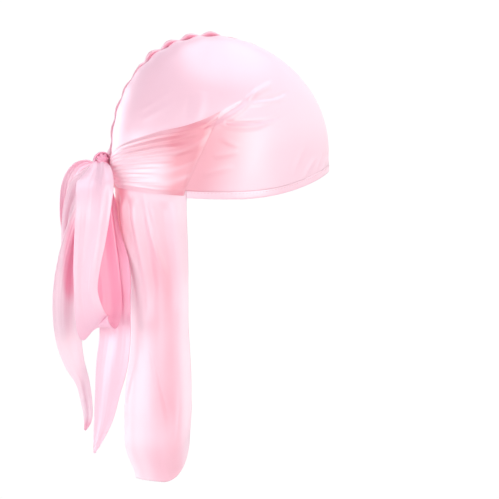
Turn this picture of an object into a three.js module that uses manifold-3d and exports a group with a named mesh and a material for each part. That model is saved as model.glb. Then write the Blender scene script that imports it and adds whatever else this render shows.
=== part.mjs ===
// A satin durag as it sits on a head, tied in a bow behind: two crown panels joined by a puckered
// seam along the middle, a turned hem, two gathered ties that wrap round to a knot at the back,
// the bow's two loops and two slanted free ends, and a long pleated cape that hangs down the neck.
// Millimetres. +X is the wearer's forward, +Y the wearer's left, +Z up. The origin is the middle of
// the head opening, level with the rim at the ears.
import * as THREE from 'three';
import { mergeVertices } from 'three/addons/utils/BufferGeometryUtils.js';
import Module from 'manifold-3d';

// The head that the crown is shaped on, measured inside the cloth.
const HEAD_LENGTH = 203; // brow to back of the head
const HEAD_WIDTH = 156; // over the ears
const CROWN_RISE = 105.5; // widest level up to the top
const SIDE_DROP = 45; // widest level down to the rim at the ears
const TOP_LEAN = 8; // how far the top lies behind the middle
const BROW_LIFT = 26; // rim at the forehead above the rim at the ears
const NAPE_LIFT = 8; // rim at the back above the rim at the ears

// The cloth. Each wall stands for satin with its turned edges.
const CLOTH = 1.5; // crown, ties and cape
const CLEARANCE = 0.3; // between pieces that touch

// Seam, hem and ties.
const SEAM_HEIGHT = 4.4; // how far the puckered seam stands up
const SEAM_PITCH = 19; // from one pucker to the next
const SEAM_SWAY = 1.3; // sideways wave of the seam
const HEM_HEIGHT = 6.5; // turned hem along the rim
const HEM_WALL = 2.4; // the hem is doubled cloth
const TIE_HEIGHT = 80; // top of the tie where it leaves the crown, above the rim
const TIE_TURN = 95; // angle from the brow where its top starts, degrees
const TIE_FOLD = 2.4; // depth of the pleats that run along the tie

// The knot and the bow.
const KNOT_HEIGHT = 34; // middle of the knot above the rim
const KNOT_LENGTH = 18; // along the head, from side to side
const KNOT_DEPTH = 15; // out from the head
const KNOT_TALL = 16; // up and down
const LOOP_DROP = 153; // knot down to the lowest point of a loop
const LOOP_REACH = 45; // middle of the head out to the side of a loop
const LOOP_WIDTH = 30; // width of the flattened tie in a loop
const BOW_SWING = 18; // how far behind the knot the loops swing
const END_DROP = 271; // knot down to the tip of the longer free end, the right one
const SHORT_END_DROP = 252; // knot down to the tip of the shorter one
const END_WIDTH = 30; // width of a free end where it opens out
const END_ASIDE = 15; // middle of the head out to the middle of a free end
const BOW_FOLD = 1.6; // depth of the folds along the loops and ends

// The cape over the neck.
const CAPE_LENGTH = 270; // rim at the nape down to the lower edge
const CAPE_WIDTH = 112; // between its two side edges, low down
const CAPE_TUCK = 20.5; // how far it hangs in front of the back of the head, low down
const CAPE_DEPTH = 44; // back to side edges, front to back, low down
const CAPE_TURN = 113; // angle from the brow at which its side edges start, degrees
const CAPE_GATHER = 3.6; // depth of the gathers under the tie
const CAPE_GATHERS = 9; // gathers from edge to edge
const CAPE_FOLD = 2.6; // depth of the broad folds low down
const CAPE_FOLDS = 3; // broad folds from edge to edge
const CAPE_CORNER = 46; // height of the rounded lower corners
const CAPE_NIP = 0.8; // how far the tie draws it in
const CAPE_CURL = 7; // how far the lower edge turns in

const RIGHT = -1;
const LEFT = 1;
const radians = THREE.MathUtils.degToRad;
const backOfHead = -(HEAD_LENGTH / 2 + CLOTH + CLEARANCE);
const { clamp, lerp, smoothstep } = THREE.MathUtils;

const wasm = await Module();
wasm.setup();

// Smooth values between the rows of a table, t from 0 at the first row to 1 at the last.
function between(rows, t) {
  const place = clamp(t, 0, 1) * (rows.length - 1);
  const row = Math.min(Math.floor(place), rows.length - 2);
  const f = place - row;
  const near = (step) => rows[clamp(row + step, 0, rows.length - 1)];
  const values = {};
  for (const name of Object.keys(rows[0])) {
    const [a, b, c, d] = [near(-1)[name], near(0)[name], near(1)[name], near(2)[name]];
    const curve = 2 * a - 5 * b + 4 * c - d;
    const twist = 3 * b - a - 3 * c + d;
    values[name] = 0.5 * (2 * b + (c - a) * f + curve * f * f + twist * f ** 3);
  }
  return values;
}

// A closed, outward-facing body from corner points and triangles. Points that meet are first rounded
// alike, then merged.
const MERGE = 1e-3;
function closedBody(points, triangles) {
  const geometry = new THREE.BufferGeometry();
  const rounded = points.map((value) => Math.round(value / (MERGE / 10)) * (MERGE / 10));
  geometry.setAttribute('position', new THREE.Float32BufferAttribute(rounded, 3));
  geometry.setIndex(triangles);
  const merged = mergeVertices(geometry, MERGE);
  const index = merged.index.array;
  const kept = [];
  for (let i = 0; i < index.length; i += 3) {
    const [a, b, c] = index.slice(i, i + 3);
    if (a !== b && b !== c && c !== a) kept.push(a, b, c);
  }
  const corner = (i) => new THREE.Vector3().fromBufferAttribute(merged.attributes.position, i);
  let volume = 0;
  for (let i = 0; i < kept.length; i += 3) {
    volume += corner(kept[i]).dot(corner(kept[i + 1]).cross(corner(kept[i + 2])));
  }
  if (volume < 0) kept.reverse();
  merged.setIndex(kept);
  return merged;
}

// A sheet of cloth as a closed wall. sheetAt(u, v) gives the point and the outward direction of its
// inner face, with u and v from 0 to 1; spread places the grid lines of u closer where folds are.
function clothWall(sheetAt, columns, rows, wall, spreadU = (u) => u, spreadV = (v) => v) {
  const points = [];
  const triangles = [];
  const stride = rows + 1;
  const layer = (columns + 1) * stride;
  for (const lift of [0, wall]) {
    for (let c = 0; c <= columns; c++) {
      for (let r = 0; r <= rows; r++) {
        const { point, out } = sheetAt(spreadU(c / columns), spreadV(r / rows));
        points.push(...point.clone().addScaledVector(out, lift));
      }
    }
  }
  const quad = (a, b, c, d) => triangles.push(a, b, c, a, c, d);
  for (let c = 0; c < columns; c++) {
    for (let r = 0; r < rows; r++) {
      const [a, b] = [c * stride + r, (c + 1) * stride + r];
      quad(a, b, b + 1, a + 1);
      quad(layer + a, layer + a + 1, layer + b + 1, layer + b);
    }
    for (const [r, flip] of [[0, 0], [rows, 1]]) {
      const [a, b] = [c * stride + r, (c + 1) * stride + r];
      if (flip) quad(a, b, layer + b, layer + a);
      else quad(b, a, layer + a, layer + b);
    }
  }
  for (let r = 0; r < rows; r++) {
    for (const [c, flip] of [[0, 0], [columns, 1]]) {
      const a = c * stride + r;
      if (flip) quad(a + 1, a, layer + a, layer + a + 1);
      else quad(a, a + 1, layer + a + 1, layer + a);
    }
  }
  return closedBody(points, triangles);
}

// The direction square to a surface, from its slopes, for sheets that aren't on the head.
function squareTo(surface, u, v, side) {
  const step = 1e-3;
  const along = surface(u + step, v).sub(surface(u - step, v));
  const across = surface(u, v + step).sub(surface(u, v - step));
  return along.cross(across).normalize().multiplyScalar(side);
}

function solidOf(geometry) {
  const bare = mergeVertices(
    new THREE.BufferGeometry()
      .setAttribute('position', geometry.attributes.position)
      .setIndex(geometry.index),
    MERGE,
  );
  return new wasm.Manifold(new wasm.Mesh({
    numProp: 3,
    vertProperties: bare.attributes.position.array,
    triVerts: new Uint32Array(bare.index.array),
  }));
}

// What is left of a body once another is cut from it: its largest piece.
function cutBy(geometry, tool) {
  const left = solidOf(geometry).subtract(solidOf(tool)).decompose();
  const largest = left.reduce((a, b) => (a.volume() > b.volume() ? a : b));
  const mesh = largest.getMesh();
  const made = new THREE.BufferGeometry();
  made.setAttribute('position', new THREE.BufferAttribute(mesh.vertProperties, 3));
  made.setIndex(new THREE.BufferAttribute(mesh.triVerts, 1));
  return made;
}

// The head's surface. It is an egg-shaped oval in plan, fuller and flatter behind, under a dome that
// leans back and is rounder from ear to ear than from brow to back. turn is the angle from the brow;
// climb is the angle up the dome, or below zero the way down the upright wall.
const EGG = 0.03; // how much wider the back is than the brow
const PLAN_FRONT = 2.1; // exponent of the front's oval; 2 would be an ellipse
const PLAN_BACK = 2.25; // exponent of the back's oval
const DOME_FULLNESS = 0.8; // exponent of the dome's width; 1 would be an ellipse
const NAPE_TAPER = 0.05; // narrowing from the widest level down to the rim, at the back
const TOP = Math.PI / 2;
function headSurface(turn, climb, side) {
  const exponent = Math.cos(turn) < 0 ? PLAN_BACK : PLAN_FRONT;
  const cos = Math.sign(Math.cos(turn)) * Math.abs(Math.cos(turn)) ** (2 / exponent);
  const sin = Math.abs(Math.sin(turn)) ** (2 / exponent);
  const above = Math.max(climb, 0);
  const below = Math.min(climb, 0) * (CROWN_RISE / SIDE_DROP);
  const taper = 1 - NAPE_TAPER * ((1 - Math.cos(turn)) / 2) * below ** 2;
  const halfWidth = (HEAD_WIDTH / 2) * (1 - EGG * cos);
  return new THREE.Vector3(
    (HEAD_LENGTH / 2) * cos * Math.cos(above) * taper - TOP_LEAN * Math.sin(above) ** 2,
    side * (halfWidth * sin * Math.cos(above) ** DOME_FULLNESS * taper + CLEARANCE / 2),
    SIDE_DROP + CROWN_RISE * (climb > 0 ? Math.sin(climb) : climb),
  );
}

// A place on the head at an angle from the brow and a height above the rim at the ears, stood off
// square to the surface.
const climbTo = (height) => {
  const rise = (height - SIDE_DROP) / CROWN_RISE;
  return rise > 0 ? Math.asin(Math.min(rise, 1)) : rise;
};
function onHead(turn, height, standoff, side) {
  const climb = climbTo(height);
  const point = headSurface(turn, climb, side);
  const out = new THREE.Vector3(0, 0, 1);
  const step = 1e-3;
  if (climb < TOP - step) {
    const at = clamp(turn, 2 * step, Math.PI - 2 * step);
    const round = headSurface(at + step, climb, side).sub(headSurface(at - step, climb, side));
    const upward = headSurface(at, climb + step, side).sub(headSurface(at, climb - step, side));
    out.copy(round.cross(upward).normalize().multiplyScalar(side));
    if (at !== turn) out.setY(0).normalize();
  }
  return { point: point.addScaledVector(out, standoff), out };
}

// The rim dips from the forehead to the ears and lifts a little at the nape.
function rimHeight(turn) {
  const lift = Math.cos(turn) > 0 ? BROW_LIFT : NAPE_LIFT;
  return lift * Math.cos(turn) ** 2;
}

// The folds that the tie's pull draws in the crown, as places on the head: turn in degrees,
// heights and sizes as shares of the crown's rise.
const CROWN_FOLDS = [
  { turnA: 102, heightA: 0.76, turnB: 64, heightB: 1.0, depth: 0.03, width: 0.055 },
  { turnA: 100, heightA: 0.72, turnB: 50, heightB: 0.86, depth: 0.024, width: 0.05 },
  { turnA: 100, heightA: 0.66, turnB: 58, heightB: 0.71, depth: 0.022, width: 0.05 },
];
function crownFold(turn, height) {
  let raised = 0;
  for (const fold of CROWN_FOLDS) {
    const a = new THREE.Vector2(radians(fold.turnA) * HEAD_WIDTH / 2, fold.heightA * CROWN_RISE);
    const b = new THREE.Vector2(radians(fold.turnB) * HEAD_WIDTH / 2, fold.heightB * CROWN_RISE);
    const here = new THREE.Vector2(turn * HEAD_WIDTH / 2, height).sub(a);
    const line = b.sub(a);
    const along = here.dot(line) / line.lengthSq();
    const off = here.cross(line) / line.length() / (fold.width * CROWN_RISE);
    if (along < 0 || along > 1) continue;
    raised += fold.depth * CROWN_RISE * Math.exp(-off * off) * Math.sin(Math.PI * along);
  }
  return raised;
}

// One side of the crown, from the hem up to the middle seam. Its lines are drawn closer where the
// folds are, at the temple.
function crownPanel(side) {
  const sheetAt = (u, v) => {
    const turn = Math.PI * u;
    const climb = lerp(climbTo(rimHeight(turn) + HEM_HEIGHT), TOP, v);
    const height = headSurface(turn, climb, side).z;
    const place = onHead(turn, height, 0, side);
    place.point.addScaledVector(place.out, crownFold(turn, height));
    return place;
  };
  const temple = 0.45;
  const closer = 0.045;
  const drawn = (u) => u + closer * Math.sin(2 * Math.PI * (u - temple));
  const spread = (u) => (drawn(u) - drawn(0)) / (drawn(1) - drawn(0));
  return clothWall(sheetAt, 22, 13, CLOTH, spread);
}

// The middle seam: both panels' edges stand up together, low in front, and pucker along the
// stitching from the top to the back. Share runs from the brow over the top to above the knot.
const SEAM_ROWS = [
  { height: 0.2 }, { height: 0.2 }, { height: 0.22 }, { height: 0.26 }, { height: 0.9 },
  { height: 1.0 }, { height: 1.0 }, { height: 0.8 }, { height: 0.5 }, { height: 0.3 },
];
function middleSeam() {
  const steps = 84;
  const frontEnd = climbTo(rimHeight(0) + HEM_HEIGHT);
  const knotTop = KNOT_HEIGHT + KNOT_TALL / 2 + 2 * CLEARANCE;
  const backEnd = climbTo(Math.max(knotTop, rimHeight(Math.PI) + HEM_HEIGHT));
  const whole = CROWN_RISE * (2 * TOP - frontEnd - backEnd);
  const surface = (share) => {
    const climb = frontEnd + (share * whole) / CROWN_RISE;
    const front = climb < TOP;
    const turn = front ? 0 : Math.PI;
    return onHead(turn, headSurface(turn, front ? climb : 2 * TOP - climb, LEFT).z, CLOTH + CLEARANCE, LEFT);
  };
  const puckers = Math.round(whole / SEAM_PITCH);
  const section = [[-1, 0], [1, 0], [1, 1], [-1, 1]];
  const corners = section.length;
  const points = [];
  const triangles = [];
  for (let i = 0; i <= steps; i++) {
    const share = i / steps;
    const { point, out } = surface(share);
    const wave = Math.sin(Math.PI * puckers * share);
    const lip = lerp(0.4, 1, Math.abs(wave));
    const stand = between(SEAM_ROWS, share).height;
    const tall = SEAM_HEIGHT * stand * lip;
    for (const [across, up] of section) {
      const corner = point.clone().addScaledVector(out, up * tall);
      corner.y = across * CLOTH * (1 - 0.3 * up) + SEAM_SWAY * stand * wave * up;
      points.push(...corner);
    }
  }
  for (let i = 0; i < steps; i++) {
    for (let c = 0; c < corners; c++) {
      const [a, b] = [i * corners + c, i * corners + ((c + 1) % corners)];
      triangles.push(a, b, b + corners, a, b + corners, a + corners);
    }
  }
  const last = steps * corners;
  triangles.push(0, 2, 1, 0, 3, 2, last, last + 1, last + 2, last, last + 2, last + 3);
  return closedBody(points, triangles);
}

// The turned hem below one crown panel, from the middle of the brow to where the cape starts.
const hemEnd = radians(CAPE_TURN - 1);
function rimHem(side) {
  const sheetAt = (u, v) => {
    const turn = u * hemEnd;
    const height = rimHeight(turn) + v * (HEM_HEIGHT - CLEARANCE);
    const bulge = (HEM_WALL - CLOTH) / 2;
    return onHead(turn, height, bulge * (Math.sin(Math.PI * v) - 1), side);
  };
  return clothWall(sheetAt, 20, 2, HEM_WALL);
}

// The tie from the temple to the knot, in sections round the head. top is a share of the way from
// the knot's middle up to the tie's height, bottom of the way down to the rim; turn is a share of
// the way round from the tie's start to the knot; press and pleat are shares of the fold depth.
const TIE_SECTIONS = [
  { turn: 0.0, top: 1.0, bottom: 0.93, press: 0.0, pleat: 0.1 },
  { turn: 0.1, top: 0.84, bottom: 0.93, press: 0.1, pleat: 0.45 },
  { turn: 0.22, top: 0.71, bottom: 0.93, press: 0.2, pleat: 0.8 },
  { turn: 0.38, top: 0.61, bottom: 0.93, press: 0.3, pleat: 1.0 },
  { turn: 0.56, top: 0.48, bottom: 0.92, press: 0.4, pleat: 0.9 },
  { turn: 0.74, top: 0.36, bottom: 0.9, press: 0.4, pleat: 0.75 },
  { turn: 0.88, top: 0.24, bottom: 0.88, press: 0.5, pleat: 0.6 },
  { turn: 0.96, top: 0.1, bottom: 0.7, press: 0.6, pleat: 0.35 },
];
const TIE_PLEATS = 4;
function tieWrap(side) {
  const frontSlant = hemEnd + radians(2) - radians(TIE_TURN);
  const sheetAt = (u, v) => {
    const section = between(TIE_SECTIONS, u);
    const slant = frontSlant * (1 - v) * (1 - u) ** 2;
    const turn = lerp(radians(TIE_TURN), Math.PI, section.turn) + slant;
    const bottom = lerp(KNOT_HEIGHT, rimHeight(turn), section.bottom);
    const top = lerp(KNOT_HEIGHT, TIE_HEIGHT, section.top);
    const height = lerp(bottom, top, v);
    const crest = Math.sin(Math.PI * v) ** 2;
    const pleats = Math.sin(Math.PI * TIE_PLEATS * (v - 0.06 * Math.sin(3 * Math.PI * u) * crest)) ** 2;
    const rise = TIE_FOLD * (section.press * crest + section.pleat * pleats);
    return onHead(turn, height, CLOTH + CLEARANCE + crownFold(turn, height) + rise, side);
  };
  return clothWall(sheetAt, 15, TIE_PLEATS * 4, CLOTH);
}

// The knot: gathers of cloth drawn over each other, as a rounded lump with slanting grooves.
const knotMiddle = new THREE.Vector3(backOfHead - KNOT_DEPTH / 2, 0, KNOT_HEIGHT);
function knotBody(margin) {
  const grooves = 5;
  const grooveDepth = 0.09;
  const geometry = new THREE.SphereGeometry(1, 22, 11);
  const position = geometry.attributes.position;
  const half = new THREE.Vector3(KNOT_DEPTH, KNOT_LENGTH, KNOT_TALL).multiplyScalar(0.5).addScalar(margin);
  for (let i = 0; i < position.count; i++) {
    const p = new THREE.Vector3().fromBufferAttribute(position, i);
    const around = Math.atan2(p.z, p.x);
    const round = Math.sqrt(Math.max(0, 1 - p.y * p.y));
    p.multiplyScalar(1 - grooveDepth * round * (1 + Math.cos(grooves * around + 2 * p.y)) / 2);
    p.multiply(half).add(knotMiddle);
    position.setXYZ(i, p.x, p.y, p.z);
  }
  return closedBody([...position.array], [...geometry.index.array]);
}

// A flattened tie as a strip. Its rows give the middle line and width, as shares of the sizes that
// scale them: drop is down from the knot, aside is out from the middle of the head, back is behind
// the knot, width is across the strip and fold is the depth of its folds. skew turns the strip's
// front edge outwards, in degrees, and tilt is the slope up to that edge.
function strip(rows, scale, side, columns) {
  const folds = 1.5;
  const step = 0.004;
  const middle = (u) => {
    const row = between(rows, u);
    return new THREE.Vector3(
      knotMiddle.x - row.back * scale.back,
      side * row.aside * scale.aside,
      knotMiddle.z - row.drop * scale.drop,
    );
  };
  const surface = (u, v) => {
    const row = between(rows, u);
    const run = middle(u + step).sub(middle(u - step)).normalize();
    const skew = radians(row.skew);
    const width = new THREE.Vector3(Math.cos(skew), side * Math.sin(skew), row.tilt ?? 0);
    width.addScaledVector(run, -width.dot(run)).normalize();
    const out = width.clone().cross(run).normalize();
    const across = v - 0.5;
    const ripple = row.fold * scale.fold * Math.cos(2 * Math.PI * folds * across);
    return middle(u)
      .addScaledVector(width, across * row.width * scale.width)
      .addScaledVector(out, ripple);
  };
  const sheetAt = (u, v) => {
    const out = squareTo(surface, clamp(u, 0.01, 0.99), v, 1);
    return { point: surface(u, v).addScaledVector(out, -CLOTH / 2), out };
  };
  return cutBy(clothWall(sheetAt, columns, 6, CLOTH), knotBody(CLEARANCE));
}

// A loop of the bow leaves the knot, falls, turns up under itself and comes back to the knot. The
// left one arches out behind before it falls, and its inner strand lies further back.
const RIGHT_LOOP_ROWS = [
  { drop: 0.0, aside: 0.08, back: 0.2, width: 0.24, skew: 0, tilt: 0.0, fold: 0.3 },
  { drop: 0.02, aside: 0.3, back: 0.3, width: 0.5, skew: 0, tilt: 0.3, fold: 0.8 },
  { drop: 0.07, aside: 0.62, back: 0.62, width: 0.86, skew: -2, tilt: 0.45, fold: 1.0 },
  { drop: 0.15, aside: 0.88, back: 0.83, width: 1.06, skew: -5, tilt: 0.3, fold: 0.9 },
  { drop: 0.3, aside: 1.0, back: 0.91, width: 1.04, skew: -6, tilt: 0.0, fold: 0.8 },
  { drop: 0.46, aside: 1.0, back: 0.99, width: 0.97, skew: -4, tilt: 0.0, fold: 0.8 },
  { drop: 0.63, aside: 1.0, back: 1.12, width: 0.82, skew: 0, tilt: 0.0, fold: 0.8 },
  { drop: 0.78, aside: 0.98, back: 1.16, width: 0.74, skew: 0, tilt: 0.1, fold: 0.6 },
  { drop: 0.92, aside: 0.92, back: 0.94, width: 0.92, skew: 0, tilt: 0.3, fold: 0.4 },
  { drop: 1.0, aside: 0.76, back: 0.6, width: 1.14, skew: 0, tilt: 0.5, fold: 0.4 },
  { drop: 0.95, aside: 0.62, back: 0.18, width: 1.04, skew: 0, tilt: 0.45, fold: 0.4 },
  { drop: 0.82, aside: 0.56, back: 0.02, width: 1.0, skew: 0, tilt: 0.2, fold: 0.5 },
  { drop: 0.64, aside: 0.54, back: 0.13, width: 0.98, skew: 0, tilt: 0.0, fold: 0.6 },
  { drop: 0.42, aside: 0.5, back: 0.27, width: 0.88, skew: 0, tilt: 0.0, fold: 0.7 },
  { drop: 0.24, aside: 0.42, back: 0.29, width: 0.72, skew: 0, tilt: 0.0, fold: 0.8 },
  { drop: 0.12, aside: 0.3, back: 0.17, width: 0.54, skew: 0, tilt: 0.0, fold: 0.7 },
  { drop: 0.05, aside: 0.2, back: 0.08, width: 0.34, skew: 0, tilt: 0.0, fold: 0.5 },
  { drop: 0.02, aside: 0.08, back: 0.2, width: 0.22, skew: 0, tilt: 0.0, fold: 0.3 },
];
const LEFT_LOOP_ROWS = [
  { drop: 0.02, aside: 0.08, back: 0.2, width: 0.24, skew: 0, tilt: -0.4, fold: 0.3 },
  { drop: 0.02, aside: 0.24, back: 0.6, width: 0.44, skew: 0, tilt: -0.9, fold: 0.8 },
  { drop: 0.06, aside: 0.5, back: 1.02, width: 0.66, skew: 0, tilt: -1.0, fold: 1.0 },
  { drop: 0.15, aside: 0.74, back: 1.24, width: 0.84, skew: 4, tilt: -0.8, fold: 0.9 },
  { drop: 0.3, aside: 0.92, back: 1.22, width: 0.92, skew: 4, tilt: -0.3, fold: 0.8 },
  { drop: 0.46, aside: 1.0, back: 1.08, width: 0.92, skew: 0, tilt: 0.0, fold: 0.7 },
  { drop: 0.64, aside: 1.0, back: 1.02, width: 0.9, skew: 0, tilt: 0.0, fold: 0.6 },
  { drop: 0.82, aside: 0.96, back: 0.98, width: 0.9, skew: 0, tilt: 0.0, fold: 0.4 },
  { drop: 0.93, aside: 0.84, back: 0.98, width: 0.88, skew: 0, tilt: 0.1, fold: 0.4 },
  { drop: 0.91, aside: 0.68, back: 1.02, width: 0.86, skew: 0, tilt: 0.1, fold: 0.6 },
  { drop: 0.78, aside: 0.62, back: 1.5, width: 0.46, skew: 0, tilt: 0.0, fold: 0.7 },
  { drop: 0.62, aside: 0.6, back: 1.68, width: 0.34, skew: 0, tilt: 0.0, fold: 0.7 },
  { drop: 0.46, aside: 0.6, back: 1.66, width: 0.4, skew: 0, tilt: 0.0, fold: 0.7 },
  { drop: 0.3, aside: 0.56, back: 1.46, width: 0.56, skew: 0, tilt: 0.0, fold: 0.7 },
  { drop: 0.17, aside: 0.46, back: 1.02, width: 0.76, skew: 0, tilt: -0.4, fold: 0.8 },
  { drop: 0.08, aside: 0.3, back: 0.6, width: 0.54, skew: 0, tilt: -0.6, fold: 0.7 },
  { drop: 0.04, aside: 0.18, back: 0.4, width: 0.34, skew: 0, tilt: -0.3, fold: 0.5 },
  { drop: 0.02, aside: 0.08, back: 0.24, width: 0.22, skew: 0, tilt: 0.0, fold: 0.3 },
];
function bowLoop(side) {
  const scale = {
    drop: LOOP_DROP, aside: LOOP_REACH, back: BOW_SWING, width: LOOP_WIDTH, fold: BOW_FOLD,
  };
  return strip(side === RIGHT ? RIGHT_LOOP_ROWS : LEFT_LOOP_ROWS, scale, side, 34);
}

// A free end opens out below the knot and is cut off on a slant, so that it ends in a point. The
// right one hangs forward under the head, the left one swings out behind.
const RIGHT_END_ROWS = [
  { drop: 0.014, aside: 0.1, back: 0.02, width: 0.2, skew: 0, fold: 0.3 },
  { drop: 0.06, aside: 0.327, back: 0.12, width: 0.4, skew: 6, fold: 0.8 },
  { drop: 0.14, aside: 0.728, back: -0.02, width: 0.62, skew: 17, fold: 1.0 },
  { drop: 0.24, aside: 1.04, back: -0.15, width: 0.78, skew: 25, fold: 1.0 },
  { drop: 0.36, aside: 1.3, back: -0.5, width: 0.98, skew: 31, fold: 1.0 },
  { drop: 0.48, aside: 1.27, back: -0.52, width: 1.0, skew: 30, fold: 1.0 },
  { drop: 0.6, aside: 1.24, back: -0.5, width: 1.02, skew: 28, fold: 0.9 },
  { drop: 0.7, aside: 1.156, back: -0.34, width: 1.0, skew: 22, fold: 0.8 },
  { drop: 0.79, aside: 1.025, back: -0.14, width: 0.8, skew: 16, fold: 0.7 },
  { drop: 0.88, aside: 0.927, back: 0.06, width: 0.6, skew: 13, fold: 0.5 },
  { drop: 0.95, aside: 0.86, back: 0.32, width: 0.32, skew: 10, fold: 0.3 },
  { drop: 1, aside: 0.84, back: 0.54, width: 0.06, skew: 10, fold: 0.0 },
];
const LEFT_END_ROWS = [
  { drop: 0.014, aside: 0.1, back: 0.06, width: 0.2, skew: 0, fold: 0.3 },
  { drop: 0.07, aside: 0.28, back: 0.5, width: 0.32, skew: 0, fold: 0.8 },
  { drop: 0.16, aside: 0.5, back: 0.95, width: 0.46, skew: 0, fold: 1.0 },
  { drop: 0.28, aside: 0.68, back: 1.4, width: 0.66, skew: 0, fold: 1.0 },
  { drop: 0.42, aside: 0.78, back: 1.72, width: 0.84, skew: 0, fold: 1.0 },
  { drop: 0.54, aside: 0.82, back: 1.8, width: 0.9, skew: 0, fold: 1.0 },
  { drop: 0.65, aside: 0.84, back: 1.72, width: 0.82, skew: 0, fold: 0.8 },
  { drop: 0.74, aside: 0.84, back: 1.44, width: 0.66, skew: 0, fold: 0.7 },
  { drop: 0.82, aside: 0.84, back: 0.98, width: 0.44, skew: 0, fold: 0.6 },
  { drop: 0.9, aside: 0.84, back: 0.76, width: 0.34, skew: 0, fold: 0.5 },
  { drop: 0.96, aside: 0.84, back: 0.7, width: 0.24, skew: 0, fold: 0.3 },
  { drop: 1.0, aside: 0.84, back: 0.86, width: 0.06, skew: 0, fold: 0.0 },
];
function freeEnd(side) {
  const right = side === RIGHT;
  const scale = {
    drop: right ? END_DROP : SHORT_END_DROP,
    aside: END_ASIDE,
    back: BOW_SWING,
    width: END_WIDTH,
    fold: BOW_FOLD,
  };
  return strip(right ? RIGHT_END_ROWS : LEFT_END_ROWS, scale, side, 22);
}

// The cape goes on from the crown at the nape, gathers under the ties and hangs round the neck,
// open to the front. Low down its section is half an oval, and its lower corners are rounded. Its
// lines lie closer at the top, where the ties nip it.
function cape() {
  const start = radians(CAPE_TURN);
  const lowest = NAPE_LIFT - CAPE_LENGTH;
  const cornerShare = 0.42;
  const surface = (u, v) => {
    const turn = lerp(start, 2 * Math.PI - start, u);
    const side = turn < Math.PI ? RIGHT : LEFT;
    const nearTurn = Math.min(turn, 2 * Math.PI - turn);
    const top = rimHeight(turn) + HEM_HEIGHT - CLEARANCE;
    const edge = clamp((Math.abs(2 * u - 1) - 1 + cornerShare) / cornerShare, 0, 1);
    const height = lerp(top, lowest + CAPE_CORNER * (1 - Math.sqrt(1 - edge * edge)), v);
    const onRim = onHead(nearTurn, clamp(height, rimHeight(turn), top), 0, side).point;
    const sweep = Math.PI * (u - 0.5);
    const low = new THREE.Vector3(
      backOfHead + CAPE_TUCK + CAPE_DEPTH * (1 - Math.cos(sweep)),
      (CAPE_WIDTH / 2) * Math.sin(sweep),
      height,
    );
    const behind = Math.cos(sweep) ** 2;
    const point = onRim.setZ(height).lerp(low, smoothstep(v, 0.06 * behind, lerp(0.36, 0.44, behind)));
    const gather = CAPE_GATHER * smoothstep(v, 0.03, 0.08) * lerp(1, 0.25, smoothstep(v, 0.12, 0.5));
    const fold = CAPE_FOLD * smoothstep(v, 0.2, 0.7);
    const wave = gather * Math.cos(2 * Math.PI * CAPE_GATHERS * (u - 0.5));
    const broad = fold * Math.cos(2 * Math.PI * CAPE_FOLDS * (u - 0.5));
    const outward = new THREE.Vector3(-Math.cos(sweep), Math.sin(sweep), 0);
    const curl = CAPE_CURL * smoothstep(v, 0.84, 1) ** 2;
    const nip = CAPE_NIP * smoothstep(v, 0, 0.015) * (1 - smoothstep(v, 0.05, 0.12));
    return point.addScaledVector(outward, (wave + broad) / 2 - curl - nip);
  };
  const sheetAt = (u, v) => ({ point: surface(u, v), out: squareTo(surface, u, v, LEFT) });
  return clothWall(sheetAt, CAPE_GATHERS * 4, 12, CLOTH, undefined, (v) => v ** 1.25);
}

const SATIN = 0xf8c6d4; // pale pink
const GLOSS = 0.38; // roughness of the satin
const durag = new THREE.Group();
function add(name, geometry) {
  const material = new THREE.MeshStandardMaterial({ color: SATIN, roughness: GLOSS, metalness: 0 });
  const mesh = new THREE.Mesh(geometry, material);
  mesh.name = name;
  durag.add(mesh);
}

for (const [word, side] of [['right', RIGHT], ['left', LEFT]]) {
  add(`crown_panel_${word}`, crownPanel(side));
  add(`rim_hem_${word}`, rimHem(side));
  add(`tie_wrap_${word}`, cutBy(tieWrap(side), knotBody(CLEARANCE)));
  add(`bow_loop_${word}`, bowLoop(side));
  add(`tie_end_${word}`, freeEnd(side));
}
add('middle_seam', middleSeam());
add('knot', knotBody(0));
add('cape', cape());

export default durag;
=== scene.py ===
# A pink satin durag in the form that it has on a head, tied in a bow behind. The sections follow
# it as it is sewn and tied: crown, seam, hem, ties, knot, loops, free ends and cape.
import math
from functools import lru_cache

import bmesh
import bpy
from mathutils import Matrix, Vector, noise


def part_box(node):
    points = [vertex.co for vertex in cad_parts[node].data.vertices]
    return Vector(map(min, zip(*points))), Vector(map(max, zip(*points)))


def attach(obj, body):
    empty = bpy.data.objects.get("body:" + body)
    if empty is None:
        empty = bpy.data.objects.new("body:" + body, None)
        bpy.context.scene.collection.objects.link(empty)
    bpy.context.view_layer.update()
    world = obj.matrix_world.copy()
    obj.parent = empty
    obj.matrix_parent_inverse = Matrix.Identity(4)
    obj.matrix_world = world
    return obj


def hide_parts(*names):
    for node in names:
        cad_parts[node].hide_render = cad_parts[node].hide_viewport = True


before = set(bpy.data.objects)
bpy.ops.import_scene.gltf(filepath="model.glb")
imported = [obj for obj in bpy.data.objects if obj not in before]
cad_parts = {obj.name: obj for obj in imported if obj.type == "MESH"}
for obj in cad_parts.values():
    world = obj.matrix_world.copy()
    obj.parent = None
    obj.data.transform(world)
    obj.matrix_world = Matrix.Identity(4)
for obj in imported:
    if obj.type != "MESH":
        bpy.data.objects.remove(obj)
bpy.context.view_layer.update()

MM = 0.001

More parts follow.
